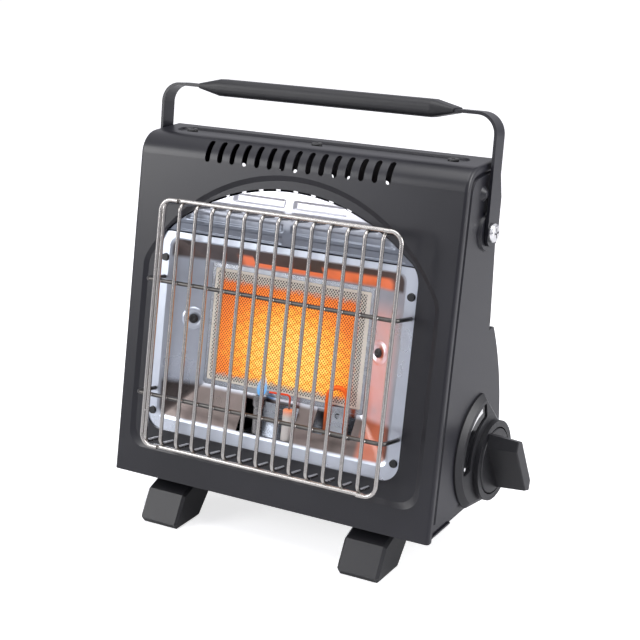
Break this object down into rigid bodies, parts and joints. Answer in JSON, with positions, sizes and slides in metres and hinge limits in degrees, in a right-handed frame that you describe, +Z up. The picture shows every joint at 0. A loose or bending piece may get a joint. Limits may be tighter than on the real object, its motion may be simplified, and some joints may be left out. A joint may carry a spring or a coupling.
{
  "type": "portable gas heater",
  "caption": "Portable camping gas heater with a leaning front, glowing ceramic burner behind a wire grille, carrying handle, side knob and a hinged rear cartridge cover.",
  "frame": {"origin": "centre of the body's width, on the floor plane, in line with the front panel's bottom edge", "axes": "+X to the right as seen from the front, +Y to the back, +Z up"},
  "size_m": [0.2808, 0.1284, 0.2949],
  "materials": {
    "black_paint": "satin black powder coat",
    "black_plastic": "matte black plastic",
    "window_gloss": "glossy black strip",
    "bright_steel": "bright steel sheet",
    "bright_wire": "bright plated wire",
    "dark_wire": "dark plated wire",
    "chrome": "polished",
    "black_screw": "black coated screw",
    "plaque_ceramic": "porous ceramic, glowing while it burns",
    "white_ceramic": "glazed ceramic",
    "brass": "plain brass and copper",
    "cast_valve": "die-cast",
    "can_paint": "plain painted can",
    "lead_rubber": "insulated lead"
  },
  "bodies": {
    "root": {"front_shell": "black_paint", "side_panel_left": "black_paint", "side_panel_right": "black_paint", "back_panel": "black_paint", "base_tray": "black_paint", "foot_front_left": "black_plastic", "foot_front_right": "black_plastic", "foot_rear_left": "black_plastic", "foot_rear_right": "black_plastic", "bezel": "black_plastic", "piezo_igniter": "black_plastic", "window_strip": "window_gloss", "reflector": "bright_steel", "reflector_hood": "bright_steel", "burner_frame": "bright_steel", "burner_housing": "bright_steel", "mixing_tube": "bright_steel", "pilot_bracket": "bright_steel", "heat_shield": "bright_steel", "cartridge_cradle": "bright_steel", "hinge_rod": "bright_steel", "pivot_nuts": "bright_steel", "flame_sensor": "bright_steel", "spark_electrode": "bright_steel", "grille_frame": "bright_wire", "grille_rods_left": "bright_wire", "grille_rods_right": "bright_wire", "grille_legs": "dark_wire", "pivot_screws": "chrome", "top_screws": "black_screw", "reflector_screws": "black_screw", "foot_screws": "black_screw", "burner_plaque": "plaque_ceramic", "spark_plug": "white_ceramic", "injector": "brass", "pilot_burner": "brass", "gas_pipe": "brass", "pilot_pipe": "brass", "gas_valve": "cast_valve", "gas_cartridge": "can_paint", "ignition_lead": "lead_rubber"},
    "cover": {"cartridge_cover": "black_paint"},
    "handle": {"handle_strip": "black_paint", "handle_grip": "black_plastic"},
    "knob_body": {"knob": "black_plastic", "knob_shaft": "brass"}
  },
  "joints": [
    {"name": "cartridge_cover_open", "type": "hinge", "parent": "root", "child": "cover", "pos_m": [0, 0.091, 0.1485], "axis": [1, 0, 0], "range_deg": [0, 100]},
    {"name": "handle_swing", "type": "hinge", "parent": "root", "child": "handle", "pos_m": [0, 0.0735, 0.216], "axis": [-1, 0, 0], "range_deg": [0, 90]},
    {"name": "knob_turn", "type": "hinge", "parent": "root", "child": "knob_body", "pos_m": [0.1225, 0.0825, 0.0588], "axis": [1, 0, 0], "range_deg": [-14, 60]}
  ]
}
